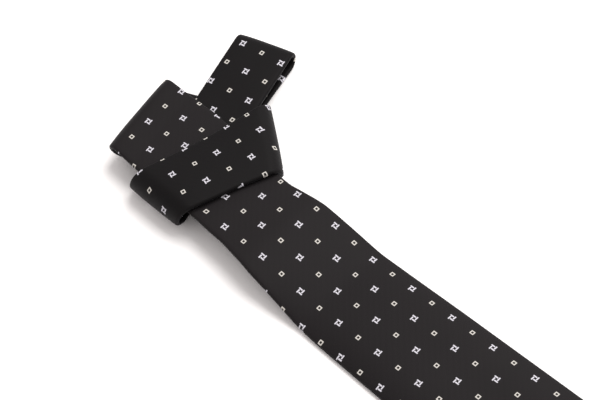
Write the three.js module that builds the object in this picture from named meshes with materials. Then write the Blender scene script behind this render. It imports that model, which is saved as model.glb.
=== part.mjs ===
// A folded necktie, laid on a table: millimetres, +Z up.
//
// The tie is one long lined strip. It is described twice: flat, as a strip with a centre line
// and a width at each distance from the wide tip, and folded, as a list of rolls and gentle
// ramps that the flat strip is wrapped round. Every layer of the tie (silk shell, interlining,
// tipping, stitching) is lofted along the same folded strip at its own depth in the section.

import * as THREE from 'three';

// ---------------------------------------------------------------- driving dimensions

const THICKNESS = 2.8;          // of the finished, pressed tie
const SILK = 0.5;               // shell fabric
const LAYER_STEP = 3.4;         // height from one lying layer to the next
const TIE_LENGTH = 1465;        // wide tip to narrow tip
const WIDE_TIP_X = 460;         // where the wide tip lies, +X along the blade
const FREE_END_S = 398;         // the wide blade is free from its tip to here
const TAIL_LENGTH = 34;         // free length of the folded tail, before its roll

// The finished width at a distance from the wide tip.
const WIDTHS = [
  [0, 0], [40, 80], [60, 80], [260, 72.5], [360, 68.5], [405, 66], [460, 60], [485, 53],
  [505, 53], [530, 56], [550, 58.5], [593, 56], [684, 48], [725, 41], [771, 39], [850, 38.5],
  [910, 38], [1035, 37], [1100, 37], [1300, 41], [TIE_LENGTH - 22.5, 45], [TIE_LENGTH, 0],
];

// Heights of the layers' mid planes, from the table up.
const level = (n) => THICKNESS / 2 + n * LAYER_STEP;
const LOWER_TAIL_Z = level(0);
const UNDER_Z = level(1);
const NARROW_START_Z = level(2);
const UPPER_TAIL_Z = level(3);
const BLADE_Z = level(4);
const BAND_SLACK = 1;           // the band is drawn loosely over the blade
const BAND_Z = level(5) + BAND_SLACK;

// Rolls: where the strip turns over, how far the fold line leans from square, in degrees.
const FLAP_ROLL = { s: 593.2, slant: 12.7, drop: BLADE_Z - UNDER_Z, rise: 5, run: 14 };
const RIGHT_ROLL = { s: 683.9, slant: -22.9, drop: BAND_Z - UNDER_Z };
const LEFT_ROLL = { s: 771.1, slant: 17.2, drop: BAND_Z - LOWER_TAIL_Z };
const TAIL_ROLL = { s: 909.1, slant: -1.7, drop: UPPER_TAIL_Z - LOWER_TAIL_Z };
const NARROW_ROLL = { s: 1011.7, slant: -54.35, drop: UPPER_TAIL_Z - NARROW_START_Z };

// Ramps: where a lying layer climbs on to the pile, or comes down from it.
const RAMP_ANGLE = 13;
const RAMP_RADIUS = 40;
const WIDE_RAMP_S = 415;
const NARROW_RAMP_S = 1052;

// Sideways turns of the bias-cut strip in its own plane: from, to, degrees.
const TURNS = [
  [480, 510, -6.4], [520, 555, 6.4], [615, 664, -6.2], [704, 751, -5.2], [796, 890, 1.3],
];

// The wide blade lies over the narrow one, so its middle is raised and its edges reach down.
const NARROW_REST_HALF = 24;    // half the width that stays raised
const SETTLE = [50, 84];        // the tip lies flat up to the first of these, raised from the second
const RAMP_REACH = 60;          // beyond the lifting line, the edges climb with the ramp
const RAMP_SPAN = 50;           // beyond the ramp's start, the blade is off the table altogether

// The keeper: a strap under the narrow blade, which makes a small bump in both blades.
const KEEPER_X = 240;
const KEEPER_LIFT = 0.9;
const KEEPER_LENGTH = 14;
const KEEPER_HALF_WIDTH = 26;
const KEEPER_HEIGHT = 3.35;
const KEEPER_STRAP = 0.6;
const KEEPER_END = 1.2;         // the strap is doubled where its ends are sewn
const BUMP = [9, 26];           // full lift within the first of these, none beyond the second

// ---------------------------------------------------------------- small helpers

const { clamp, degToRad, lerp, smoothstep } = THREE.MathUtils;

/** Linear interpolation in a table of [position, value] rows. */
function tableAt(table, s) {
  if (s <= table[0][0]) return table[0][1];
  for (let i = 1; i < table.length; i++) {
    const [a, va] = table[i - 1];
    const [b, vb] = table[i];
    if (s <= b) return lerp(va, vb, (s - a) / (b - a));
  }
  return table[table.length - 1][1];
}

const halfWidth = (s) => tableAt(WIDTHS, s) / 2;

// ---------------------------------------------------------------- the folded strip

/** The bends of one roll: an optional rise before it, then a half turn towards the back. */
function rollBends({ s, slant, drop, rise = 0, run = 0 }) {
  const a = degToRad(rise);
  const lean = Math.cos(degToRad(slant));
  const easing = RAMP_RADIUS / 2;
  const climbed = easing * (1 - Math.cos(a)) + run * Math.sin(a);
  const radius = (drop + climbed) / (1 + Math.cos(a));
  const halfArc = radius * (Math.PI + a) / 2;
  const bends = [];
  if (rise) bends.push({ s: s - (halfArc + run + easing * a) / lean, slant, turn: a, radius: easing });
  bends.push({ s: s - halfArc / lean, slant, turn: -(Math.PI + a), radius });
  return bends;
}

/** Two opposite bends that carry the strip a height `rise` towards its face. */
function rampBends(s, rise) {
  const a = degToRad(RAMP_ANGLE);
  const straight = (rise - 2 * RAMP_RADIUS * (1 - Math.cos(a))) / Math.sin(a);
  const bend = { s, slant: 0, turn: a, radius: RAMP_RADIUS };
  return [bend, { ...bend, s: s + RAMP_RADIUS * a + straight, turn: -a }];
}

class FoldedStrip {
  constructor(start, z, turns, bends, length) {
    this.step = 1;
    this.centre = [start.clone()];
    this.heading = [Math.PI];
    for (let s = 0; s < length; s += this.step) {
      let bend = 0;
      for (const [from, to, degrees] of turns) {
        if (s >= from && s < to) bend += degToRad(degrees) * this.step / (to - from);
      }
      const h = this.heading[this.heading.length - 1];
      const mid = h + bend / 2;
      const last = this.centre[this.centre.length - 1];
      this.centre.push(new THREE.Vector2(
        last.x + Math.cos(mid) * this.step, last.y + Math.sin(mid) * this.step));
      this.heading.push(h + bend);
    }
    this.place = new THREE.Matrix4().makeTranslation(0, 0, z);
    this.bends = [];
    for (const bend of bends) this.addBend(bend);
  }

  centreAt(s) {
    const i = clamp(Math.floor(s / this.step), 0, this.centre.length - 2);
    return this.centre[i].clone().lerp(this.centre[i + 1], s / this.step - i);
  }

  headingAt(s) {
    const i = clamp(Math.floor(s / this.step), 0, this.heading.length - 2);
    return lerp(this.heading[i], this.heading[i + 1], s / this.step - i);
  }

  /** Adds a bend, and moves the frame that everything beyond it is placed with. */
  addBend({ s, slant, turn, radius }) {
    const h = this.headingAt(s) + degToRad(slant);
    const ahead = new THREE.Vector3(Math.cos(h), Math.sin(h), 0);
    const along = new THREE.Vector3(-Math.sin(h), Math.cos(h), 0);
    const up = new THREE.Vector3(0, 0, 1);
    const c = this.centreAt(s);
    const pivot = new THREE.Vector3(c.x, c.y, 0);
    const side = Math.sign(turn);
    const angle = Math.abs(turn);
    this.bends.push({
      s, slant, pivot, ahead, along, side, radius, angle,
      arc: radius * angle, place: this.place.clone(),
    });
    const axis = new THREE.Vector3(0, 0, side * radius).add(pivot);
    const local = new THREE.Matrix4().makeTranslation(axis.x, axis.y, axis.z);
    const spin = new THREE.Vector3().crossVectors(ahead, up).multiplyScalar(side);
    local.multiply(new THREE.Matrix4().makeRotationAxis(spin, angle));
    local.multiply(new THREE.Matrix4().makeTranslation(-axis.x, -axis.y, -axis.z));
    const back = ahead.clone().multiplyScalar(-radius * angle);
    local.multiply(new THREE.Matrix4().makeTranslation(back.x, back.y, back.z));
    this.place.multiply(local);
  }

  /** The point at distance s, w to the left of the way and n towards the face. */
  point(s, w, n) {
    const c = this.centreAt(s);
    const h = this.headingAt(s);
    const p = new THREE.Vector3(c.x - Math.sin(h) * w, c.y + Math.cos(h) * w, n);
    for (const b of this.bends) {
      const d = p.clone().sub(b.pivot);
      const u = d.dot(b.ahead);
      if (u <= 0) return p.applyMatrix4(b.place);
      if (u < b.arc) {
        const f = u / b.radius;
        const r = b.radius - b.side * n;
        const q = b.pivot.clone()
          .addScaledVector(b.along, d.dot(b.along))
          .addScaledVector(b.ahead, r * Math.sin(f));
        q.z = b.side * (b.radius - r * Math.cos(f));
        return q.applyMatrix4(b.place);
      }
    }
    return p.applyMatrix4(this.place);
  }
}

const BENDS = [
  ...rampBends(WIDE_RAMP_S, BLADE_Z - UNDER_Z),
  ...rollBends(FLAP_ROLL),
  ...rollBends(RIGHT_ROLL),
  ...rollBends(LEFT_ROLL),
  ...rollBends(TAIL_ROLL),
  ...rollBends(NARROW_ROLL),
  ...rampBends(NARROW_RAMP_S, NARROW_START_Z - LOWER_TAIL_Z),
];
const strip = new FoldedStrip(
  new THREE.Vector2(WIDE_TIP_X, 0), UNDER_Z, TURNS, BENDS, TIE_LENGTH);

// Where the two strands of the tail and the narrow blade cross the lines they lift about.
const TAIL_ROLL_REACH = 8;      // half the length of strip taken up by the roll itself
const TAIL_OUT_S = TAIL_ROLL.s - TAIL_LENGTH - TAIL_ROLL_REACH;
const TAIL_BACK_S = TAIL_ROLL.s + TAIL_LENGTH + TAIL_ROLL_REACH;
const narrowX = (s) => strip.point(s, 0, 0).x;
const narrowAtX = (x) => TIE_LENGTH - (narrowX(TIE_LENGTH) - x);
const NARROW_FREE_S = narrowAtX(WIDE_TIP_X - FREE_END_S);

// How far the section lines lean: square at the cuts and ramps, along the fold line at a roll.
const LEANS_FROM = WIDE_RAMP_S + 70;
const LEANS_END = NARROW_RAMP_S - 2;
const LEANS = [[LEANS_FROM, 0]];
for (const b of strip.bends) {
  if (b.slant === 0) continue;
  const lean = Math.tan(degToRad(b.slant));
  const reach = b.arc / Math.cos(degToRad(b.slant));
  if (b.s > TAIL_OUT_S && LEANS[LEANS.length - 1][0] < TAIL_OUT_S) LEANS.push([TAIL_OUT_S, 0]);
  if (b.s > TAIL_BACK_S && LEANS[LEANS.length - 1][0] < TAIL_BACK_S) LEANS.push([TAIL_BACK_S, 0]);
  LEANS.push([b.s, lean], [b.s + reach, lean]);
}
LEANS.push([LEANS_END, 0]);

const NARROWEST_DROOP = 6;      // the drooping side is never steeper than over this width

/** How much a lying layer is lifted off its flat plane at (s, w), towards its face. */
function lift(s, w) {
  const keeper = (centre) => KEEPER_LIFT * (1 - smoothstep(Math.abs(s - centre), ...BUMP));
  const edge = Math.max(halfWidth(s), NARROW_REST_HALF + NARROWEST_DROOP);
  const side = clamp((Math.abs(w) - NARROW_REST_HALF) / (edge - NARROW_REST_HALF), 0, 1);
  if (s < WIDE_RAMP_S + RAMP_SPAN) {
    const settle = 1 - smoothstep(s, ...SETTLE);
    const reach = LAYER_STEP * (1 - smoothstep(s, FREE_END_S, FREE_END_S + RAMP_REACH));
    const raised = (1 - settle) * (1 - side);
    return -reach * (1 - raised) + keeper(WIDE_TIP_X - KEEPER_X) * raised;
  }
  if (s > NARROW_FREE_S) return -keeper(narrowAtX(KEEPER_X));
  return 0;
}

/** A point of a layer, on the section line of station s. */
function place(s, w, n) {
  const at = s - w * tableAt(LEANS, s);
  return strip.point(at, w, n + lift(s, w));
}

// ---------------------------------------------------------------- lofting

const BEND_STEP = degToRad(24); // the coarsest facet of a bend
const CLOSEST = 0.4;            // stations nearer than this are one

/** The stations that a stretch needs: its ends, the width table's rows and every bend. */
function stations(from, to, extra = []) {
  const list = [from, to, ...extra];
  for (const [s] of WIDTHS) list.push(s);
  for (const [s] of LEANS) list.push(s);
  for (const x of BUMP) {
    for (const middle of [WIDE_TIP_X - KEEPER_X, narrowAtX(KEEPER_X)]) {
      list.push(middle - x, middle + x);
    }
  }
  for (const [a, b] of TURNS) list.push(a, (a + b) / 2, b);
  for (const b of strip.bends) {
    const steps = Math.max(2, Math.round(b.angle / BEND_STEP));
    const reach = b.arc / Math.cos(degToRad(b.slant));
    for (let i = 0; i <= steps; i++) list.push(b.s + reach * i / steps);
  }
  const inside = list.filter((s) => s >= from && s <= to).sort((a, b) => a - b);
  return inside.filter((s, i) => i === 0 || s - inside[i - 1] > CLOSEST || s === to);
}

/** A closed body whose section at each station is section(s): a loop of [w, n] points. */
function loft(list, section) {
  const rings = list.map((s) => section(s).map(([w, n]) => place(s, w, n)));
  const count = rings[0].length;
  const positions = [];
  for (const ring of rings) for (const p of ring) positions.push(p.x, p.y, p.z);
  // Layers share the same diagonals across the width, so twisted faces stay clear.
  const outline = section(list[0]).map(([w, n]) => new THREE.Vector2(w, n));
  const faces = [];
  for (let i = 0; i + 1 < rings.length; i++) {
    for (let j = 0; j < count; j++) {
      const k = (j + 1) % count;
      const a = i * count + j;
      const b = i * count + k;
      if (outline[j].x < outline[k].x) faces.push([a, b, b + count], [a, b + count, a + count]);
      else faces.push([a, b, a + count], [b, b + count, a + count]);
    }
  }
  const cap = (s, first, flip) => {
    const contour = section(s).map(([w, n]) => new THREE.Vector2(w, n));
    for (const [a, b, c] of THREE.ShapeUtils.triangulateShape(contour, [])) {
      faces.push(flip ? [first + a, first + c, first + b] : [first + a, first + b, first + c]);
    }
  };
  const clockwise = THREE.ShapeUtils.isClockWise(outline);
  cap(list[0], 0, !clockwise);
  cap(list[list.length - 1], (rings.length - 1) * count, clockwise);
  const geometry = new THREE.BufferGeometry();
  geometry.setAttribute('position', new THREE.Float32BufferAttribute(positions, 3));
  geometry.setIndex(outward(positions, faces).flat());
  geometry.computeVertexNormals();
  return geometry;
}

/** The faces, turned round if the body they close has a negative volume. */
function outward(positions, faces) {
  const at = (i) => new THREE.Vector3().fromArray(positions, i * 3);
  let volume = 0;
  for (const [a, b, c] of faces) volume += at(a).dot(at(b).cross(at(c)));
  return volume > 0 ? faces : faces.map(([a, b, c]) => [a, c, b]);
}

// ---------------------------------------------------------------- sections of the layers

const FACE_N = THICKNESS / 2;
const EDGE_ROUND = 0.7;
const EDGE_INSIDE = 1.2;        // the silk's inner corner, in from the edge
const EDGE_WALL = 0.65;         // thickness of the silk across the rolled edge
const SEAM_HALF_GAP = 0.4;
const HEM = 11;                 // the silk turned in over the tipping
const WIDE_SEAM_S = 82;
const NARROW_SEAM_S = TIE_LENGTH - 44;
const WIDE_CORNER = 40;         // from the point to the blade's corners
const NARROW_CORNER = 22.5;

/** Half the gap between the two turned-in sides, which opens over the tipping at each tip. */
function seamGap(s) {
  const toTip = Math.min(s, TIE_LENGTH - s);
  const [seam, corner] = s < FREE_END_S
    ? [WIDE_SEAM_S, WIDE_CORNER]
    : [TIE_LENGTH - NARROW_SEAM_S, NARROW_CORNER];
  const open = corner - HEM;
  const gap = toTip < corner
    ? toTip - HEM
    : open * (1 - (toTip - corner) / (seam - corner));
  return Math.max(SEAM_HALF_GAP, gap);
}

const NICK = 0.1;               // keeps neighbouring corners of the section apart
const LEAST_FLAP = 1.6;         // the sides are turned in at least this far, even at the points
const DROOP_FROM = 0.75;        // share of a narrow section at which its sides may droop
const FLAP_BEND = 0.4;          // share of a wide open side at which it may droop

/** The silk: one panel across the face, rolled round both edges to the seam at the back. */
function shellSection(s) {
  const half = halfWidth(s);
  const flat = half - EDGE_ROUND;
  const gap = Math.min(seamGap(s), flat - LEAST_FLAP);
  const bend = Math.min(NARROW_REST_HALF, flat * DROOP_FROM);
  const backBend = Math.max(bend, lerp(gap, flat, FLAP_BEND));
  const inner = half - EDGE_INSIDE;
  const outerSide = [
    [gap, -FACE_N], [backBend, -FACE_N], [flat, -FACE_N], [half, 0], [flat, FACE_N], [bend, FACE_N],
  ];
  const depth = FACE_N - SILK;
  const innerSide = [
    [gap, -depth], [Math.min(backBend, inner - 3 * NICK), -depth], [inner - NICK, -depth],
    [half - EDGE_WALL, 0], [inner - NICK, depth], [Math.min(bend, inner - 3 * NICK), depth],
  ];
  const mirror = ([w, n]) => [-w, n];
  return [
    ...outerSide, [0, FACE_N], ...outerSide.map(mirror).reverse(),
    ...innerSide.map(mirror), [0, depth], ...innerSide.slice().reverse(),
  ];
}

/** A flat layer inside the shell, from depth n0 up to n1, clear of the rolled edges. */
function innerSection(n0, n1, margin) {
  return (s) => {
    const half = halfWidth(s) - margin;
    const bend = Math.min(NARROW_REST_HALF, half * DROOP_FROM);
    const row = [half, bend, 0, -bend, -half];
    return [...row.map((w) => [w, n1]), ...row.reverse().map((w) => [w, n0])];
  };
}

const WOOL = { low: -0.15, high: 0.65, margin: 2 };
const TIPPING = { low: -0.65, high: -0.35, margin: 2.4 };
const THREAD = 0.3;             // thickness of the slip stitching
const THREAD_N = -1.15;         // its depth, between the two turned-in sides
const interliningSection = innerSection(WOOL.low, WOOL.high, WOOL.margin);
const tippingSection = innerSection(TIPPING.low, TIPPING.high, TIPPING.margin);
const threadSection = () => [[1, -1], [1, 1], [-1, 1], [-1, -1]].map(
  ([w, n]) => [w * THREAD / 2, THREAD_N + n * THREAD / 2]);

// ---------------------------------------------------------------- materials

function cloth(color, roughness) {
  return new THREE.MeshStandardMaterial({ color, roughness, metalness: 0 });
}
const silk = () => cloth('#2b2a2c', 0.5);
const satin = () => cloth('#1d1c1f', 0.45);
const wool = () => cloth('#d9d2c4', 0.9);
const thread = () => cloth('#242326', 0.6);

// ---------------------------------------------------------------- the pieces

const tie = new THREE.Group();

function add(name, geometry, material) {
  const mesh = new THREE.Mesh(geometry, material);
  mesh.name = name;
  tie.add(mesh);
}

const CUT = 0.15;               // half the gap where a strip is parted at a lifting line
const SHELL_END = 4;            // the blunted points of the shell
const LINING_END = 9;           // the interlining and tipping stop short of the points
const WIDE_TIPPING_END = 107;
const NARROW_TIPPING_START = TIE_LENGTH - 70;
const SEAM_END = 4;             // the seam is sewn from this far past where the sides meet

// Extra stations: close together where the tip settles on the table, and where the ramp begins.
const TIP_STEP = 5;
const TIP_STATIONS = Array.from({ length: 20 }, (_, i) => LINING_END + 1 + i * TIP_STEP);
const RAMP_STATIONS = [430, 440, FREE_END_S + RAMP_REACH];

// Each stretch of the strip between two lifting lines: its name and where it runs.
const STRETCHES = [
  ['wide_blade', SHELL_END, FREE_END_S - CUT],
  ['wrap', FREE_END_S + CUT, TAIL_OUT_S - CUT],
  ['tail', TAIL_OUT_S + CUT, TAIL_BACK_S - CUT],
  ['return', TAIL_BACK_S + CUT, NARROW_FREE_S - CUT],
  ['narrow_blade', NARROW_FREE_S + CUT, TIE_LENGTH - SHELL_END],
];
for (const [name, from, to] of STRETCHES) {
  const extra = [...TIP_STATIONS, ...RAMP_STATIONS];
  add(`${name}_shell`, loft(stations(from, to, extra), shellSection), silk());
  const liningFrom = Math.max(from, LINING_END);
  const liningTo = Math.min(to, TIE_LENGTH - LINING_END);
  const lining = stations(liningFrom, liningTo, extra);
  add(`${name}_interlining`, loft(lining, interliningSection), wool());
  const seamFrom = Math.max(from, WIDE_SEAM_S + SEAM_END);
  const seamTo = Math.min(to, NARROW_SEAM_S - SEAM_END);
  add(`${name}_slip_stitch`, loft(stations(seamFrom, seamTo, extra), threadSection), thread());
}

const wideTipping = stations(LINING_END, WIDE_TIPPING_END, TIP_STATIONS);
add('wide_tipping', loft(wideTipping, tippingSection), satin());
const narrowTipping = stations(NARROW_TIPPING_START, TIE_LENGTH - LINING_END);
add('narrow_tipping', loft(narrowTipping, tippingSection), satin());

/** A short bar of thread across the seam, standing a little proud of the back. */
function barTack(s) {
  const [length, width, near, far] = [7, 1.6, 0.05, 0.3];
  const section = () => [
    [length / 2, -FACE_N - far], [length / 2, -FACE_N - near],
    [-length / 2, -FACE_N - near], [-length / 2, -FACE_N - far],
  ];
  return loft([s - width / 2, s + width / 2], section);
}
add('wide_bar_tack', barTack(WIDE_SEAM_S + SEAM_END), thread());
add('narrow_bar_tack', barTack(NARROW_SEAM_S - SEAM_END), thread());

/** The keeper: a strap under the narrow blade whose two ends reach the wide blade's back. */
function keeperLoop() {
  const [reach, top, strap] = [KEEPER_HALF_WIDTH, KEEPER_HEIGHT, KEEPER_STRAP];
  const inner = reach - KEEPER_END;
  const outline = [
    [-reach, 0], [reach, 0], [reach, top], [inner, top],
    [inner, strap], [-inner, strap], [-inner, top], [-reach, top],
  ].map(([y, z]) => new THREE.Vector2(y, z));
  const geometry = new THREE.ExtrudeGeometry(new THREE.Shape(outline), {
    depth: KEEPER_LENGTH, bevelEnabled: false,
  });
  geometry.rotateX(Math.PI / 2).rotateZ(Math.PI / 2);
  geometry.translate(KEEPER_X - KEEPER_LENGTH / 2, 0, 0);
  return geometry;
}
add('keeper_loop', keeperLoop(), satin());

// The origin is on the table, under the middle of the folded tie.
const middle = new THREE.Box3().setFromObject(tie).getCenter(new THREE.Vector3());
tie.position.set(-middle.x, -middle.y, 0);

export default tie;
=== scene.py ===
"""A folded silk necktie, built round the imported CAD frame.

The tie is one long lined strip. Every layer of it is lofted along the same folded strip, which
is worked out in millimetres as in the CAD and then placed by the CAD's own boxes, in metres.
"""
import math

import bpy
import numpy as np
from mathutils import Matrix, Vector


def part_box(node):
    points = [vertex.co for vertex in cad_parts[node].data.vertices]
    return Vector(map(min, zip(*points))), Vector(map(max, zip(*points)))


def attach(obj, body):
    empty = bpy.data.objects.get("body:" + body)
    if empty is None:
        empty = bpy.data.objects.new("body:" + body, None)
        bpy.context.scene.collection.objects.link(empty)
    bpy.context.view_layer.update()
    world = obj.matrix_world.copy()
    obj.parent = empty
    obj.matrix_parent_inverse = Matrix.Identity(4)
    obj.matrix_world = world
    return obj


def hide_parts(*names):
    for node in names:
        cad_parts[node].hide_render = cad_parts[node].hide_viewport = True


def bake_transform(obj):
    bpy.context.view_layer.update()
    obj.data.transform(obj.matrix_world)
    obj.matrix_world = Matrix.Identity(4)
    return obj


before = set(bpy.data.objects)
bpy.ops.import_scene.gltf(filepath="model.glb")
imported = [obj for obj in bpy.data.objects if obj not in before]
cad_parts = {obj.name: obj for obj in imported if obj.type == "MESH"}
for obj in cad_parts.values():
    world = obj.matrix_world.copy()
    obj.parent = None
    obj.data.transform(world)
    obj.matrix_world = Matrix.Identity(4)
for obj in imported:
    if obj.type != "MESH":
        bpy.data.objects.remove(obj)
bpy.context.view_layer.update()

# ---------------------------------------------------------------- the tie's dimensions, in mm

THICKNESS = 2.8
FACE_N = THICKNESS / 2
SILK = 0.45
LAYER_STEP = 3.4
TIE_LENGTH = 1465
WIDE_TIP_X = 460
SHELL_END = 4                   # the CAD shell is blunted this far from the point
FREE_END_S = 398
WIDTHS = np.array([
    (0, 0), (40, 80), (60, 80), (260, 72.5), (360, 68.5), (405, 66), (460, 60), (485, 53),
    (505, 53), (530, 56), (550, 58.5), (593, 56), (684, 48), (725, 41), (771, 39), (850, 38.5),
    (910, 38), (1035, 37), (1100, 37), (1300, 41), (TIE_LENGTH - 22.5, 45), (TIE_LENGTH, 0),
])
LOWER_TAIL_Z, UNDER_Z, NARROW_START_Z, UPPER_TAIL_Z, BLADE_Z, BAND_Z = (
    FACE_N + n * LAYER_STEP for n in range(6))
BAND_SLACK = 1                  # the band is drawn loosely over the blade
BAND_Z += BAND_SLACK
ROLLS = {
    "flap": dict(s=593.2, slant=12.7, drop=BLADE_Z - UNDER_Z, rise=5, run=14),
    "right": dict(s=683.9, slant=-22.9, drop=BAND_Z - UNDER_Z),
    "left": dict(s=771.1, slant=17.2, drop=BAND_Z - LOWER_TAIL_Z),
    "tail": dict(s=909.1, slant=-1.7, drop=UPPER_TAIL_Z - LOWER_TAIL_Z),
    "narrow": dict(s=1011.7, slant=-54.35, drop=UPPER_TAIL_Z - NARROW_START_Z),
}
RAMP_ANGLE = 13
RAMP_RADIUS = 40
WIDE_RAMP_S = 415
NARROW_RAMP_S = 1052
TURNS = [(480, 510, -6.4), (520, 555, 6.4), (615, 664, -6.2), (704, 751, -5.2), (796, 890, 1.3)]
SETTLE = (50, 84)               # the tip lies flat before the first, is raised past the second
RAMP_REACH = 60                 # past the lifting line, the edges climb with the ramp
RAMP_SPAN = 50                  # past the ramp's start, the blade is off the table altogether
KEEPER_X = 240
KEEPER_LIFT = 0.9
BUMP = (9, 26)                  # full keeper lift within the first, none past the second
TAIL_REACH = 42                 # from the tail's fold to the cuts it lifts at
LEANS_FROM = WIDE_RAMP_S + 70
LEANS_END = NARROW_RAMP_S - 2
WIDE_SEAM_S = 82
NARROW_SEAM_S = TIE_LENGTH - 44
WIDE_CORNER = 40                # from the point to the blade's corners
NARROW_CORNER = 22.5
HEM = 11                        # the silk turned in over the tipping
MM = 0.001


def smooth(x, low, high):
    t = np.clip((x - low) / (high - low), 0, 1)
    return t * t * (3 - 2 * t)


def half_width(s):
    return np.interp(s, WIDTHS[:, 0], WIDTHS[:, 1]) / 2


# ---------------------------------------------------------------- the folded strip

def roll_bends(s, slant, drop, rise=0, run=0):
    """A half turn towards the back about a fold line, after an optional small rise."""
    a = math.radians(rise)
    lean = math.cos(math.radians(slant))
    easing = RAMP_RADIUS / 2
    climbed = easing * (1 - math.cos(a)) + run * math.sin(a)
    radius = (drop + climbed) / (1 + math.cos(a))
    half_arc = radius * (math.pi + a) / 2
    bends = []
    if rise:
        bends.append((s - (half_arc + run + easing * a) / lean, slant, a, easing))
    bends.append((s - half_arc / lean, slant, -(math.pi + a), radius))
    return bends


def ramp_bends(s, rise):
    """Two opposite bends that carry the strip a height towards its face."""
    a = math.radians(RAMP_ANGLE)
    straight = (rise - 2 * RAMP_RADIUS * (1 - math.cos(a))) / math.sin(a)
    return [(s, 0, a, RAMP_RADIUS), (s + RAMP_RADIUS * a + straight, 0, -a, RAMP_RADIUS)]


class FoldedStrip:
    """Maps a place on the flat strip (s along, w across, n towards the face) to the folded tie."""

    def __init__(self, start, z, turns, bends, length):
        self.s = np.arange(0, length + 2.0)
        bend = np.zeros(len(self.s))
        for low, high, degrees in turns:
            bend += np.where((self.s >= low) & (self.s < high), math.radians(degrees) / (high - low), 0)
        self.heading = math.pi + np.concatenate([[0], np.cumsum(bend[:-1])])
        mid = self.heading + bend / 2
        self.x = start[0] + np.concatenate([[0], np.cumsum(np.cos(mid[:-1]))])
        self.y = start[1] + np.concatenate([[0], np.cumsum(np.sin(mid[:-1]))])
        turn, shift = np.eye(3), np.array([0.0, 0.0, z])
        self.bends = []
        for s, slant, angle, radius in bends:
            h = np.interp(s, self.s, self.heading) + math.radians(slant)
            ahead = np.array([math.cos(h), math.sin(h), 0])
            along = np.array([-math.sin(h), math.cos(h), 0])
            up = np.array([0, 0, 1.0])
            pivot = np.array([np.interp(s, self.s, self.x), np.interp(s, self.s, self.y), 0])
            side, a = np.sign(angle), abs(angle)
            self.bends.append(dict(s=s, slant=slant, pivot=pivot, ahead=ahead, along=along,
                                   side=side, radius=radius, arc=radius * a, angle=a,
                                   turn=turn, shift=shift))
            c, k = math.cos(a), side * math.sin(a)
            spin = (np.outer(along, along) + np.outer(ahead * c + up * k, ahead)
                    + np.outer(up * c - ahead * k, up))
            beyond = (pivot + ahead * (radius * math.sin(a) - radius * a * c)
                      + up * side * (radius - radius * c - radius * a * math.sin(a)))
            shift = turn @ (beyond - spin @ pivot) + shift
            turn = turn @ spin
        self.turn, self.shift = turn, shift

    def point(self, s, w, n):
        """Arrays of s, w and n of one shape give points of that shape + (3,)."""
        h = np.interp(s, self.s, self.heading)
        p = np.stack([np.interp(s, self.s, self.x) - np.sin(h) * w,
                      np.interp(s, self.s, self.y) + np.cos(h) * w, n], -1)
        out = p @ self.turn.T + self.shift
        done = np.zeros(s.shape, bool)
        for b in self.bends:
            d = p - b["pivot"]
            u, v = d @ b["ahead"], d @ b["along"]
            before = ~done & (u <= 0)
            out[before] = p[before] @ b["turn"].T + b["shift"]
            done |= before
            arc = ~done & (u < b["arc"])
            f = u[arc] / b["radius"]
            r = b["radius"] - b["side"] * n[arc]
            q = (b["pivot"] + v[arc][:, None] * b["along"]
                 + (r * np.sin(f))[:, None] * b["ahead"])
            q[:, 2] = b["side"] * (b["radius"] - r * np.cos(f))
            out[arc] = q @ b["turn"].T + b["shift"]
            done |= arc
        return out


strip = FoldedStrip(
    (WIDE_TIP_X, 0), UNDER_Z, TURNS,
    ramp_bends(WIDE_RAMP_S, BLADE_Z - UNDER_Z)
    + sum((roll_bends(**roll) for roll in ROLLS.values()), [])
    + ramp_bends(NARROW_RAMP_S, NARROW_START_Z - LOWER_TAIL_Z), TIE_LENGTH)


def centre(s, w=0.0, n=0.0):
    return strip.point(np.array([float(s)]), np.array([float(w)]), np.array([float(n)]))[0]


def narrow_at(x):
    """The distance s at which the narrow blade passes x."""
    return TIE_LENGTH - (centre(TIE_LENGTH)[0] - x)


TAIL_CUTS = (ROLLS["tail"]["s"] - TAIL_REACH, ROLLS["tail"]["s"] + TAIL_REACH)
NARROW_FREE_S = narrow_at(WIDE_TIP_X - FREE_END_S)
KEEPER_WIDE_S = WIDE_TIP_X - KEEPER_X
KEEPER_NARROW_S = narrow_at(KEEPER_X)


def lean_table():
    """Section lines lie along the fold line at each roll and square across at cuts and ramps."""
    rows = [(LEANS_FROM, 0.0)]
    for b in strip.bends:
        if b["slant"] == 0:
            continue
        for cut in TAIL_CUTS:
            if rows[-1][0] < cut < b["s"]:
                rows.append((cut, 0.0))
        lean = math.tan(math.radians(b["slant"]))
        reach = b["arc"] / math.cos(math.radians(b["slant"]))
        rows += [(b["s"], lean), (b["s"] + reach, lean)]
    rows.append((LEANS_END, 0.0))
    return np.array(rows)


LEANS = lean_table()

# ---------------------------------------------------------------- how the fabric lies

EDGE_POWER = 4                  # how late across the blade its sides roll down to the table
NARROWEST_HALF = 30             # the sides roll down as if the blade were at least this wide


def lift(s, w):
    """The blade is raised over the narrow blade and the keeper, and its sides reach the table."""
    wide = s < WIDE_RAMP_S + RAMP_SPAN
    settle = 1 - smooth(s, *SETTLE)
    across = np.clip(np.abs(w) / np.maximum(half_width(s), NARROWEST_HALF), 0, 1)
    raised = (1 - settle) * (1 - across ** EDGE_POWER)
    reach = LAYER_STEP * (1 - smooth(s, FREE_END_S, FREE_END_S + RAMP_REACH))
    bump = KEEPER_LIFT * (1 - smooth(np.abs(s - KEEPER_WIDE_S), *BUMP)) * raised
    narrow = -KEEPER_LIFT * (1 - smooth(np.abs(s - KEEPER_NARROW_S), *BUMP))
    return np.where(wide, bump - reach * (1 - raised), np.where(s > NARROW_FREE_S, narrow, 0))


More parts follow.
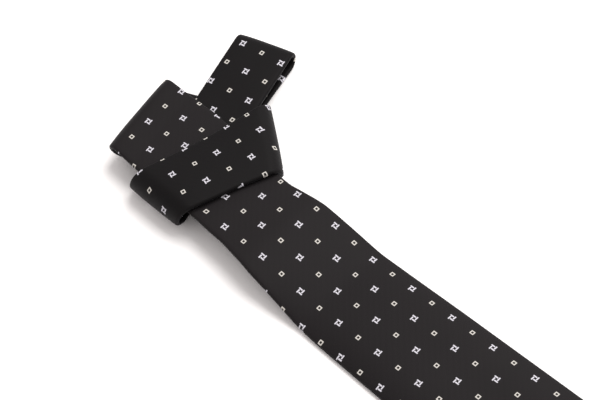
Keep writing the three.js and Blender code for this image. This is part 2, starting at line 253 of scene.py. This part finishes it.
# How far the face panel swells over the interlining, in mm, at distances along the tie.
SWELL = np.array([
    (0, 0.1), (60, 0.5), (460, 0.6), (500, 0.7), (585, 0.7), (600, 0.15), (670, 0.15), (690, 0.5),
    (705, 1.3), (750, 1.3), (766, 0.5), (790, 0.1), (880, 0.1), (905, 0.5), (925, 0.9),
    (945, 0.7), (965, 0.15), (TIE_LENGTH, 0.1),
])
SWELL_POWER = 2.5               # how far out across the tie the swell keeps its height
RIPPLE = 0.28                   # share of the swell that is uneven


def swell(s, w):
    """The soft crown of the face panel, with the slow unevenness of pressed silk."""
    across = np.clip(np.abs(w) / np.maximum(half_width(s), 1), 0, 1)
    height = np.interp(s, SWELL[:, 0], SWELL[:, 1])
    ripple = (np.sin(s / 19 + w / 11) + np.sin(s / 31 - w / 17 + 1.3) + np.sin(w / 7 + s / 53)) / 3
    return height * (1 - across ** SWELL_POWER) * (1 + RIPPLE * ripple)


def place(s, w, n):
    """Folded places of the layer points (w, n) on the section lines of stations s."""
    at = s - w * np.interp(s, LEANS[:, 0], LEANS[:, 1])
    return strip.point(at, w, n + lift(s, w)), at


# ---------------------------------------------------------------- the woven pattern's grid

MOTIF_STEP = 14.4
MOTIF_ACROSS = 14.17
GRID_OFFSET = 200               # an even number that keeps the grid's counts positive

# Each visible length of the bias-cut silk carries the grid at its own turn and place: the
# centre (s, w) of the length, the turn in degrees, the grid counts at that centre and how
# far the bias-cut cloth is drawn out along the tie.
GRIDS = [
    dict(s=405.0, w=-0.29, turn=1.15, count=(-0.09, 0.765)),
    dict(s=571.6, w=-5.9, turn=5.0, count=(1.5, 0.5)),
    dict(s=725.2, w=3.9, turn=1.0, count=(1.8, 0.7)),
    dict(s=938.4, w=-0.25, turn=-9.0, count=(0.0, 0.0), stretch=1.15),
    dict(s=1150.0, w=0.0, turn=0.0, count=(0.0, 0.0)),
]
# Where one grid gives way to the next, hidden under other layers.
GRID_CHANGES = [(500, 526), (612, 668), (800, 880), (990, 1100)]


def grid_at(grid, s, w):
    a = math.radians(grid["turn"])
    i = (grid["s"] - s) / (MOTIF_STEP * grid.get("stretch", 1.0))
    j = (w - grid["w"]) / MOTIF_ACROSS
    return (math.cos(a) * i - math.sin(a) * j + grid["count"][0],
            math.sin(a) * i + math.cos(a) * j + grid["count"][1])


def match_grids():
    """Shifts each grid by whole cells of its checkerboard so that it nearly meets the last."""
    for before, grid, change in zip(GRIDS, GRIDS[1:], GRID_CHANGES):
        middle = sum(change) / 2
        old, new = grid_at(before, middle, 0.0), grid_at(grid, middle, 0.0)
        both = round((old[0] - new[0] + old[1] - new[1]) / 2)
        apart = round((old[0] - new[0] - old[1] + new[1]) / 2)
        grid["count"] = (grid["count"][0] + both + apart, grid["count"][1] + both - apart)


match_grids()


def pattern_grid(s, w):
    i, j = grid_at(GRIDS[0], s, w)
    for grid, (low, high) in zip(GRIDS[1:], GRID_CHANGES):
        t = smooth(s, low, high)
        i2, j2 = grid_at(grid, s, w)
        i, j = i + (i2 - i) * t, j + (j2 - j) * t
    return i + GRID_OFFSET, j + GRID_OFFSET


wide_low, wide_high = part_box("wide_blade_shell")
ORIGIN = np.array([
    wide_high.x - (WIDE_TIP_X - SHELL_END) * MM, (wide_low.y + wide_high.y) / 2, 0.0])


def to_row(points):
    return points * MM + ORIGIN


# ---------------------------------------------------------------- meshes

UV_PER_MM = 0.01                # the cloth UV map counts in units of 100 mm


def make_mesh(name, points, faces, uv, grid=None):
    """An object from mm points and quads; uv is a pair for each point in mm, grid one in cells."""
    mesh = bpy.data.meshes.new(name)
    mesh.from_pydata(to_row(points).tolist(), [], faces)
    layer = mesh.uv_layers.new(name="cloth")
    corners = np.zeros(len(mesh.loops), np.int32)
    mesh.loops.foreach_get("vertex_index", corners)
    layer.data.foreach_set("uv", (uv[corners] * UV_PER_MM).astype(np.float32).ravel())
    if grid is not None:
        layer = mesh.uv_layers.new(name="pattern")
        layer.data.foreach_set("uv", grid[corners].astype(np.float32).ravel())
    mesh.polygons.foreach_set("use_smooth", [True] * len(mesh.polygons))
    mesh.validate()
    obj = bpy.data.objects.new(name, mesh)
    bpy.context.collection.objects.link(obj)
    if signed_volume(points, faces) < 0:
        mesh.flip_normals()
    return obj


def signed_volume(points, faces):
    total = 0.0
    quads = np.array([f if len(f) == 4 else (*f, f[2]) for f in faces])
    a, b, c, d = (points[quads[:, i]] for i in range(4))
    total += np.einsum("ij,ij->", a, np.cross(b, c)) + np.einsum("ij,ij->", a, np.cross(c, d))
    return total / 6


def stations(start, end, step, roll_step):
    """Stations from start to end, closer together where the strip is bent tightly."""
    marks = {float(start), float(end)}
    for b in strip.bends:
        reach = b["arc"] / math.cos(math.radians(b["slant"]))
        count = max(2, round(reach / (roll_step if b["radius"] < RAMP_RADIUS / 2 else step)))
        marks.update(b["s"] + reach * i / count for i in range(count + 1))
    marks = sorted(m for m in marks if start <= m <= end)
    out = [marks[0]]
    for a, b in zip(marks, marks[1:]):
        if b - a < roll_step / 3 and b != end:
            continue
        count = max(1, math.ceil((b - out[-1]) / step))
        out += list(np.linspace(out[-1], b, count + 1)[1:])
    return np.array(out)


CLOSED_GAP = 0.25               # half the gap along the closed seam


def seam_gap(s):
    """Half the gap between the turned-in sides, which opens over the tipping at each tip."""
    to_tip = np.minimum(s, TIE_LENGTH - s)
    wide = s < FREE_END_S
    seam = np.where(wide, WIDE_SEAM_S, TIE_LENGTH - NARROW_SEAM_S)
    corner = np.where(wide, WIDE_CORNER, NARROW_CORNER)
    opened = np.where(to_tip < corner, to_tip - HEM,
                      (corner - HEM) * (1 - (to_tip - corner) / (seam - corner)))
    return np.maximum(CLOSED_GAP, opened)


EDGE_ROUND = 1.3
SILK_STEP, SILK_ROLL_STEP = 3.0, 1.1    # between rings, on the flat and in the rolls
TURN_UNDER = 0.28               # how far the free edge of a side is rounded off
TURN_UNDER_WIDTH = 1.2
TURN_UNDER_INSIDE = 0.2         # the share of it on the silk's inner face
FLAP_POINTS, ROUND_POINTS, FACE_POINTS = 7, 9, 15


def shell_profile(s):
    """Outer and inner points (w, n, uv across) of the silk for every station, side by side."""
    half = half_width(s)[:, None]
    rounding = np.minimum(EDGE_ROUND, half * 0.6)
    flat = half - rounding
    gap = np.minimum(seam_gap(s)[:, None], flat * 0.9)
    t = np.linspace(0, 1, FLAP_POINTS)[None, :-1]
    flap_w = gap + (flat - gap) * t
    # the free edge of a side is turned under, so its last millimetre is rounded off
    turned = TURN_UNDER * np.clip(1 - (flap_w - gap) / TURN_UNDER_WIDTH, 0, 1) ** 2
    phi = np.linspace(-math.pi / 2, math.pi / 2, ROUND_POINTS)[None, :]
    f = np.linspace(1, 0, FACE_POINTS)[None, 1:]
    layers = []
    for depth, shrink in ((FACE_N, 0.0), (FACE_N - SILK, SILK)):
        edge = np.maximum(rounding - shrink, 0.05)
        w = np.concatenate([flap_w, flat + edge * np.cos(phi), flat * f], 1)
        n = np.concatenate([
            -depth + turned * (1 if shrink == 0 else TURN_UNDER_INSIDE), depth * np.sin(phi) + 0 * flat,
            depth + 0 * flat * f], 1)
        face = np.concatenate([0 * flap_w, np.sin(np.maximum(phi, 0)) + 0 * flat,
                               1 + 0 * flat * f], 1)
        u = np.where(n < 0, 2 * half - w, w)
        right = np.stack([w, n, u, face])
        left = np.stack([-w, n, -u, face])[:, :, -2::-1]
        layers.append(np.concatenate([right, left], 2))
    return layers


def silk_shell(name, start, end):
    """One length of the silk: the face, both rolled edges and the two sides sewn at the back."""
    s = stations(start, end, SILK_STEP, SILK_ROLL_STEP)
    outer, inner = shell_profile(s)
    count = outer.shape[2]
    w, n, u, face = np.concatenate([outer, inner], 2)
    stretch = np.repeat(s[:, None], w.shape[1], 1)
    points, at = place(stretch, w, n + face * swell(stretch, w))
    uv = np.stack([u, at], -1)
    rings, width = len(s), 2 * count
    k = np.arange(count - 1)
    quads = []
    for i in range(rings - 1):
        a, b = i * width, (i + 1) * width
        quads.append(np.stack([a + k, a + k + 1, b + k + 1, b + k], 1))
        inner_a, inner_b = a + count + k, b + count + k
        quads.append(np.stack([inner_a + 1, inner_a, inner_b, inner_b + 1], 1))
        quads.append(np.array([[a + count, a, b, b + count],
                               [a + count - 1, a + 2 * count - 1, b + 2 * count - 1, b + count - 1]]))
    quads.append(np.stack([k + 1, k, k + count, k + count + 1], 1))
    last = (rings - 1) * width
    quads.append(np.stack([last + k, last + k + 1, last + k + count + 1, last + k + count], 1))
    faces = np.concatenate(quads).tolist()
    grid = np.stack(pattern_grid(at, u), -1).reshape(-1, 2)
    return make_mesh(name, points.reshape(-1, 3), faces, uv.reshape(-1, 2), grid=grid)


def solid_layer(name, start, end, section, step=4.0, roll_step=1.6):
    """A closed layer whose section(s) gives arrays of w and n, shape (stations, points)."""
    s = stations(start, end, step, roll_step)
    w, n = section(s)
    stretch = np.repeat(s[:, None], w.shape[1], 1)
    points, at = place(stretch, w, n)
    count = w.shape[1]
    k = np.arange(count)
    j = (k + 1) % count
    quads = [np.stack([i * count + k, i * count + j, (i + 1) * count + j, (i + 1) * count + k], 1)
             for i in range(len(s) - 1)]
    faces = np.concatenate(quads).tolist()
    first = list(range(count))
    last = [(len(s) - 1) * count + i for i in first]
    half = count // 2
    for ring, flip in ((first, True), (last, False)):
        for i in range(half - 1):
            quad = [ring[i], ring[i + 1], ring[count - 2 - i], ring[count - 1 - i]]
            faces.append(quad[::-1] if flip else quad)
    uv = np.stack([w, at], -1).reshape(-1, 2)
    return make_mesh(name, points.reshape(-1, 3), faces, uv)


def flat_section(n_low, n_high, margin, columns=12):
    """A flat layer that stays a margin inside the finished width."""
    def section(s):
        half = np.maximum(half_width(s) - margin, 0.5)[:, None]
        across = np.linspace(1, -1, columns)[None, :]
        top = half * across
        w = np.concatenate([top, top[:, ::-1]], 1)
        n = np.concatenate([0 * top + n_high, 0 * top + n_low], 1)
        return w, n
    return section


def tube(path, radius, sides=6):
    """Points and faces of a closed round thread along a path of mm points."""
    path = np.asarray(path, float)
    ahead = np.gradient(path, axis=0)
    ahead /= np.linalg.norm(ahead, axis=1)[:, None]
    ref = np.array([0.3, 0.2, 0.93])
    side = np.cross(ahead, ref)
    side /= np.linalg.norm(side, axis=1)[:, None]
    up = np.cross(side, ahead)
    turn = 2 * math.pi * np.arange(sides) / sides
    ring = (np.cos(turn)[None, :, None] * side[:, None] + np.sin(turn)[None, :, None] * up[:, None])
    taper = np.ones(len(path))
    taper[[0, -1]] = 0.55
    points = (path[:, None] + ring * radius * taper[:, None, None]).reshape(-1, 3)
    faces = []
    for i in range(len(path) - 1):
        for j in range(sides):
            k = (j + 1) % sides
            a, b = i * sides, (i + 1) * sides
            faces.append([a + j, a + k, b + k, b + j])
    faces.append(list(range(sides))[::-1])
    faces.append([(len(path) - 1) * sides + j for j in range(sides)])
    return points, faces


def joined(name, shapes):
    """One object from several (points, faces) shapes."""
    points, faces, base = [], [], 0
    for p, f in shapes:
        points.append(p)
        faces += [[base + i for i in face] for face in f]
        base += len(p)
    points = np.concatenate(points)
    obj = bpy.data.objects.new(name, bpy.data.meshes.new(name))
    obj.data.from_pydata(to_row(points).tolist(), [], faces)
    obj.data.polygons.foreach_set("use_smooth", [True] * len(obj.data.polygons))
    bpy.context.collection.objects.link(obj)
    return obj


# ---------------------------------------------------------------- camera and stage

LENS_MM = 117.4
CAMERA_AT = (0.348, -0.4105, 0.8809)
CAMERA_RIGHT = (0.6996, 0.70883, -0.09011)
CAMERA_UP = (-0.53098, 0.60011, 0.59827)


def add_camera():
    data = bpy.data.cameras.new("photo_camera")
    data.lens = LENS_MM
    data.sensor_width = 36
    data.clip_end = 20
    camera = bpy.data.objects.new("photo_camera", data)
    right, up = np.array(CAMERA_RIGHT), np.array(CAMERA_UP)
    back = np.cross(right, up)
    camera.matrix_world = Matrix([
        [right[i], up[i], back[i], CAMERA_AT[i]] for i in range(3)] + [[0, 0, 0, 1]])
    bpy.context.collection.objects.link(camera)
    bpy.context.scene.camera = camera


def add_area_light(name, place_at, aim, size, watts, colour=(1, 1, 1)):
    data = bpy.data.lights.new(name, "AREA")
    data.shape = "DISK"
    data.size = size
    data.energy = watts
    data.color = colour
    light = bpy.data.objects.new(name, data)
    away = np.array(place_at, float) - np.array(aim, float)
    away /= np.linalg.norm(away)
    side = np.cross([0, 0, 1.0], away)
    side /= np.linalg.norm(side)
    up = np.cross(away, side)
    light.matrix_world = Matrix([
        [side[i], up[i], away[i], place_at[i]] for i in range(3)] + [[0, 0, 0, 1]])
    bpy.context.collection.objects.link(light)


def add_stage():
    size = 6.0
    corners = [(-size, -size), (size, -size), (size, size), (-size, size)]
    mesh = bpy.data.meshes.new("floor")
    mesh.from_pydata([(x, y, -0.0004) for x, y in corners], [], [(0, 1, 2, 3)])
    floor = bpy.data.objects.new("floor", mesh)
    bpy.context.collection.objects.link(floor)
    paper = bpy.data.materials.new("white_paper")
    paper.use_nodes = True
    shader = paper.node_tree.nodes["Principled BSDF"]
    shader.inputs["Base Color"].default_value = (0.985, 0.98, 0.978, 1)
    shader.inputs["Roughness"].default_value = 0.9
    shader.inputs["Specular IOR Level"].default_value = 0.1
    mesh.materials.append(paper)
    world = bpy.data.worlds.new("studio")
    world.use_nodes = True
    world.node_tree.nodes["Background"].inputs["Color"].default_value = (1, 0.95, 0.94, 1)
    world.node_tree.nodes["Background"].inputs["Strength"].default_value = 0.8
    bpy.context.scene.world = world
    bpy.context.scene.view_settings.view_transform = "Standard"
    pile = (-0.25, 0.0, 0.0)
    add_area_light("key", (-0.2, 1.2, 2.0), pile, 1.8, 50, (1, 0.985, 0.97))
    add_area_light("fill", (0.9, 0.9, 1.3), pile, 1.0, 5)


# ---------------------------------------------------------------- materials

class Nodes:
    """Small helpers for building a shader graph."""

    def __init__(self, name):
        self.material = bpy.data.materials.new(name)
        self.material.use_nodes = True
        self.tree = self.material.node_tree
        self.shader = self.tree.nodes["Principled BSDF"]

    def link(self, source, target):
        self.tree.links.new(source, target)

    def feed(self, socket, value):
        if isinstance(value, (int, float)):
            socket.default_value = value
        elif isinstance(value, tuple):
            socket.default_value = value
        else:
            self.link(value, socket)

    def math(self, operation, a, b=0.0, c=0.0):
        node = self.tree.nodes.new("ShaderNodeMath")
        node.operation = operation
        for socket, value in zip(node.inputs, (a, b, c)):
            self.feed(socket, value)
        return node.outputs[0]

    def ramp(self, along, low, high):
        """0 before the distance low, 1 past high, both in mm along the tie."""
        node = self.tree.nodes.new("ShaderNodeMapRange")
        node.interpolation_type = "SMOOTHSTEP"
        self.link(along, node.inputs[0])
        node.inputs[1].default_value = low * UV_PER_MM
        node.inputs[2].default_value = high * UV_PER_MM
        return node.outputs[0]

    def mix(self, factor, a, b):
        node = self.tree.nodes.new("ShaderNodeMix")
        node.data_type = "RGBA"
        self.feed(node.inputs[0], factor)
        self.feed(node.inputs[6], a)
        self.feed(node.inputs[7], b)
        return node.outputs[2]

    def noise(self, vector, scale, detail=2.0):
        node = self.tree.nodes.new("ShaderNodeTexNoise")
        node.inputs["Scale"].default_value = scale
        node.inputs["Detail"].default_value = detail
        self.link(vector, node.inputs["Vector"])
        return node.outputs["Fac"]

    def uv(self, layer="cloth"):
        node = self.tree.nodes.new("ShaderNodeUVMap")
        node.uv_map = layer
        split = self.tree.nodes.new("ShaderNodeSeparateXYZ")
        self.link(node.outputs[0], split.inputs[0])
        return node.outputs[0], split.outputs[0], split.outputs[1]

    def bump(self, height, strength, distance, normal=None):
        node = self.tree.nodes.new("ShaderNodeBump")
        node.inputs["Strength"].default_value = strength
        node.inputs["Distance"].default_value = distance
        self.link(height, node.inputs["Height"])
        if normal is not None:
            self.link(normal, node.inputs["Normal"])
        return node.outputs[0]


def box_mask(g, x, y, x0, x1, y0, y1, soft=0.3):
    """1 inside a rectangle in mm, with soft edges."""
    def edge(value, low, high):
        rise = g.math("MULTIPLY_ADD", value, 1 / soft, -low / soft + 0.5)
        fall = g.math("MULTIPLY_ADD", value, -1 / soft, high / soft + 0.5)
        lower = g.math("MINIMUM", rise, fall)
        clamp = g.math("MINIMUM", g.math("MAXIMUM", lower, 0.0), 1.0)
        return clamp
    return g.math("MULTIPLY", edge(x, x0, x1), edge(y, y0, y1))


# Sizes of the figures in mm: one arm of a pinwheel runs from low to high and lies between
# inner and outer; a square is a ring.
PINWHEEL_ARM = (-1.95, 0.4, 0.72, 1.45)
SQUARE_OUTER = 1.22
SQUARE_HOLE = 0.68


def motif_mask(g):
    """The woven figures: pinwheels and small hollow squares, turn about, on a square grid."""
    _, i, j = g.uv("pattern")
    cell_i = g.math("ROUND", i)
    cell_j = g.math("ROUND", j)
    a = g.math("MULTIPLY", g.math("SUBTRACT", i, cell_i), MOTIF_STEP)
    b = g.math("MULTIPLY", g.math("SUBTRACT", j, cell_j), MOTIF_ACROSS)
    odd = g.math("FLOORED_MODULO", g.math("ADD", cell_i, cell_j), 2.0)
    minus_a = g.math("MULTIPLY", a, -1.0)
    minus_b = g.math("MULTIPLY", b, -1.0)
    low, high, inner, outer = PINWHEEL_ARM
    arms = [
        box_mask(g, a, minus_b, low, high, inner, outer),
        box_mask(g, b, a, low, high, inner, outer),
        box_mask(g, minus_a, b, low, high, inner, outer),
        box_mask(g, minus_b, minus_a, low, high, inner, outer),
    ]
    pinwheel = g.math("MAXIMUM", g.math("MAXIMUM", arms[0], arms[1]),
                      g.math("MAXIMUM", arms[2], arms[3]))
    whole = box_mask(g, a, b, -SQUARE_OUTER, SQUARE_OUTER, -SQUARE_OUTER, SQUARE_OUTER)
    hole = box_mask(g, a, b, -SQUARE_HOLE, SQUARE_HOLE, -SQUARE_HOLE, SQUARE_HOLE)
    square = g.math("MULTIPLY", whole, g.math("SUBTRACT", 1.0, hole))
    figure = g.math("ADD", g.math("MULTIPLY", pinwheel, g.math("SUBTRACT", 1.0, odd)),
                    g.math("MULTIPLY", square, odd))
    return figure, odd


BAND_PAINTED_SHADE = 0.6               # painted shade: the band and the tail are painted this much darker than the blade, in place of the satin's sheen falling off with the weave's direction
PAINTED_SHADE_START = (612, 680)            # where the painted shade sets in along the tie, and where it ends
PAINTED_SHADE_END = (1000, 1100)
TWILL_PITCH = 0.045             # in the cloth UV map's units, as is the next
CROSS_PITCH = 0.09


def silk_material():
    g = Nodes("charcoal_silk")
    vector, across, along = g.uv()
    figure, odd = motif_mask(g)
    mottle = g.noise(vector, 1.4, 3.0)
    ground = g.mix(mottle, (0.0080, 0.0068, 0.0073, 1), (0.0115, 0.0099, 0.0106, 1))
    # painted shade: the band and the tail are darkened to stand in for the satin's sheen, which falls off
    # there with the weave's direction
    painted_shade_start = g.ramp(along, *PAINTED_SHADE_START)
    painted_shade_end = g.ramp(along, *PAINTED_SHADE_END)
    painted_shade = g.math("MULTIPLY", g.math("SUBTRACT", painted_shade_start, painted_shade_end), BAND_PAINTED_SHADE)
    ground = g.mix(painted_shade, ground, (0.0, 0.0, 0.0, 1))
    white = g.mix(odd, (0.58, 0.57, 0.62, 1), (0.56, 0.54, 0.50, 1))
    g.link(g.mix(figure, ground, white), g.shader.inputs["Base Color"])
    g.shader.inputs["Roughness"].default_value = 0.6
    g.shader.inputs["Specular IOR Level"].default_value = 0.09
    g.shader.inputs["Sheen Weight"].default_value = 0.035
    g.shader.inputs["Sheen Roughness"].default_value = 0.45
    g.shader.inputs["Sheen Tint"].default_value = (0.9, 0.9, 1.0, 1)
    twill = g.math("SINE", g.math("MULTIPLY", g.math("ADD", across, along), 2 * math.pi / TWILL_PITCH))
    cross = g.math("SINE", g.math("MULTIPLY", g.math("SUBTRACT", across, along), 2 * math.pi / CROSS_PITCH))
    weave = g.math("ADD", g.math("MULTIPLY", twill, 0.6), g.math("MULTIPLY", cross, 0.4))
    height = g.math("ADD", g.math("MULTIPLY", weave, 0.5), g.math("MULTIPLY", figure, 1.4))
    g.link(g.bump(height, 0.35, 0.00008), g.shader.inputs["Normal"])
    return g.material


def plain_cloth(name, colour, roughness, pitch, strength, sheen=0.2):
    g = Nodes(name)
    vector, across, along = g.uv()
    mottle = g.noise(vector, 2.2, 3.0)
    dark = tuple(c * 0.8 for c in colour) + (1,)
    light = tuple(min(1, c * 1.2) for c in colour) + (1,)
    g.link(g.mix(mottle, dark, light), g.shader.inputs["Base Color"])
    g.shader.inputs["Roughness"].default_value = roughness
    g.shader.inputs["Sheen Weight"].default_value = sheen
    warp = g.math("SINE", g.math("MULTIPLY", across, 2 * math.pi / pitch))
    weft = g.math("SINE", g.math("MULTIPLY", along, 2 * math.pi / pitch))
    g.link(g.bump(g.math("MULTIPLY", warp, weft), strength, 0.0001), g.shader.inputs["Normal"])
    return g.material


def thread_material(name, colour):
    g = Nodes(name)
    g.shader.inputs["Base Color"].default_value = colour + (1,)
    g.shader.inputs["Roughness"].default_value = 0.5
    g.shader.inputs["Sheen Weight"].default_value = 0.3
    return g.material


def finish_piece(obj, material, nodes):
    obj.data.materials.append(material)
    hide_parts(*nodes)


# ---------------------------------------------------------------- build

add_camera()
add_stage()
silk = silk_material()
wool = plain_cloth("interlining_wool", (0.62, 0.57, 0.48), 0.95, 0.11, 0.5, 0.5)
lining = plain_cloth("tipping_satin", (0.012, 0.012, 0.014), 0.4, 0.05, 0.2)
thread = thread_material("dark_thread", (0.02, 0.02, 0.022))

WRAP_S, TAIL_S, NARROW_S = 525, 835, 985       # where the pieces meet, under other layers
SHELL_INSET = 1.5               # the silk stops this far short of the two points
LINING_END = 9                  # the layers inside stop this far short
WOOL = (-0.15, 0.65, 2.2)       # low and high faces, and margin inside the finished width
TIPPING = (-0.6, -0.35, 2.4)
WIDE_TIPPING_END = 110
NARROW_TIPPING_START = TIE_LENGTH - 70


def follow(obj, body):
    """Rides the pile; any other piece has its transform baked in where it stands."""
    if body == "pile":
        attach(obj, "pile")
    elif body == "free_ends":
        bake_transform(obj)
    else:
        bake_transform(obj)


LENGTHS = [
    ("wide_blade", SHELL_INSET, WRAP_S, "free_ends", ["wide_blade"]),
    ("wrap", WRAP_S, TAIL_S, "pile", ["wrap"]),
    ("tail", TAIL_S, NARROW_S, "tail", ["tail"]),
    ("narrow_blade", NARROW_S, TIE_LENGTH - SHELL_INSET, "free_ends", ["return", "narrow_blade"]),
]


for name, start, end, body, nodes in LENGTHS:
    shell = silk_shell(f"silk_{name}", start, end)
    finish_piece(shell, silk, [f"{n}_shell" for n in nodes])
    follow(shell, body)

    lining_start, lining_end = max(start, LINING_END), min(end, TIE_LENGTH - LINING_END)
    wool_layer = solid_layer(f"interlining_{name}", lining_start, lining_end,
                             flat_section(*WOOL))
    finish_piece(wool_layer, wool, [f"{n}_interlining" for n in nodes])
    follow(wool_layer, body)

STITCH_PITCH = 9.0
STITCH_LENGTH = 2.2             # along the tie, and as much across the seam
STITCH_FROM_TACK = 8            # the first stitch, past the end of the seam
STITCH_INSET = 2                # the nearest a stitch comes to either end of its length
STITCH_RADIUS = 0.13
STITCH_BULGE = 0.14             # how far the middle of a stitch stands out
STITCH_DIP = 0.22               # how far its ends dip into the silk
STITCH_CLEAR = 0.02
for name, start, end, body, nodes in LENGTHS:
    shapes = []
    s = max(start, WIDE_SEAM_S + STITCH_FROM_TACK) + STITCH_INSET
    while s < min(end, NARROW_SEAM_S - STITCH_FROM_TACK) - STITCH_INSET:
        t = np.linspace(0, 1, 5)
        ends = (np.abs(t - 0.5) * 2) ** 2
        depth = -FACE_N - STITCH_CLEAR - STITCH_BULGE * np.sin(math.pi * t) + STITCH_DIP * ends
        path, _ = place(s + STITCH_LENGTH * t, STITCH_LENGTH * (t - 0.5), depth)
        shapes.append(tube(path, STITCH_RADIUS))
        s += STITCH_PITCH
    stitches = joined(f"slip_stitch_{name}", shapes)
    finish_piece(stitches, thread, [f"{n}_slip_stitch" for n in nodes])
    follow(stitches, body)

TIPPING_PANELS = [
    ("wide", LINING_END, WIDE_TIPPING_END),
    ("narrow", NARROW_TIPPING_START, TIE_LENGTH - LINING_END),
]
for name, start, end in TIPPING_PANELS:
    tipping = solid_layer(f"{name}_tipping_panel", start, end, flat_section(*TIPPING), SILK_STEP)
    finish_piece(tipping, lining, [f"{name}_tipping"])
    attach(tipping, "free_ends")

TACK_FROM_SEAM_END = 4
TACK_TURNS = 9                  # threads laid side by side
TACK_PITCH = 0.2
TACK_HALF_LENGTH = 3.6
TACK_RADIUS = 0.12
TACK_DIP = 0.1                  # how far the ends dip into the silk
TACKS = (("wide", WIDE_SEAM_S + TACK_FROM_SEAM_END), ("narrow", NARROW_SEAM_S - TACK_FROM_SEAM_END))
for name, s in TACKS:
    shapes = []
    for i in range(TACK_TURNS):
        t = np.linspace(-1, 1, 7)
        along = s + (i - TACK_TURNS // 2) * TACK_PITCH + 0 * t
        path, _ = place(along, TACK_HALF_LENGTH * t, -FACE_N - TACK_RADIUS + TACK_DIP * t ** 4)
        shapes.append(tube(path, TACK_RADIUS))
    tack = joined(f"{name}_bar_tack_threads", shapes)
    finish_piece(tack, thread, [f"{name}_bar_tack"])
    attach(tack, "free_ends")


def keeper():
    """A flat strap round the narrow blade, its ends turned up to the wide blade's back."""
    reach, thick, length, top = 26.0, 0.6, 14.0, 3.3
    radius = 0.9
    corner = np.linspace(0, math.pi / 2, 6)
    right = [(reach, top)] + [
        (reach - radius + radius * math.cos(-a), radius - radius * math.sin(a)) for a in corner]
    left = [(-y, z) for y, z in right[::-1]]
    outer = np.array(right + left)
    inner_radius = radius - thick
    right_in = [(reach - thick, top)] + [
        (reach - radius + inner_radius * math.cos(-a), radius - inner_radius * math.sin(a))
        for a in corner]
    inner = np.array(right_in + [(-y, z) for y, z in right_in[::-1]])
    count = len(outer)
    xs = np.linspace(KEEPER_X - length / 2, KEEPER_X + length / 2, 8)
    rings = []
    uvs = []
    lengths = np.concatenate([[0], np.cumsum(np.linalg.norm(np.diff(outer, axis=0), axis=1))])
    for x in xs:
        rim = min(abs(x - xs[0]), abs(x - xs[-1]))
        squeeze = 0.12 * max(0, 1 - rim / 1.5)
        loop_out = outer + (inner - outer) * squeeze
        loop_in = inner + (outer - inner) * squeeze
        for loop in (loop_out, loop_in):
            rings.append(np.column_stack([np.full(count, x), loop]))
            uvs.append(np.column_stack([lengths, np.full(count, x)]))
    points = np.concatenate(rings)
    k = np.arange(count - 1)
    width = 2 * count
    quads = []
    for i in range(len(xs) - 1):
        a, b = i * width, (i + 1) * width
        quads.append(np.stack([a + k, a + k + 1, b + k + 1, b + k], 1))
        inner_a, inner_b = a + count + k, b + count + k
        quads.append(np.stack([inner_a + 1, inner_a, inner_b, inner_b + 1], 1))
        quads.append(np.array([[a + count, a, b, b + count],
                               [a + count - 1, a + 2 * count - 1, b + 2 * count - 1, b + count - 1]]))
    quads.append(np.stack([k + 1, k, k + count, k + count + 1], 1))
    last = (len(xs) - 1) * width
    quads.append(np.stack([last + k, last + k + 1, last + k + count + 1, last + k + count], 1))
    obj = make_mesh("keeper_strap", points, np.concatenate(quads).tolist(), np.concatenate(uvs))
    finish_piece(obj, lining, ["keeper_loop"])
    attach(obj, "free_ends")


keeper()
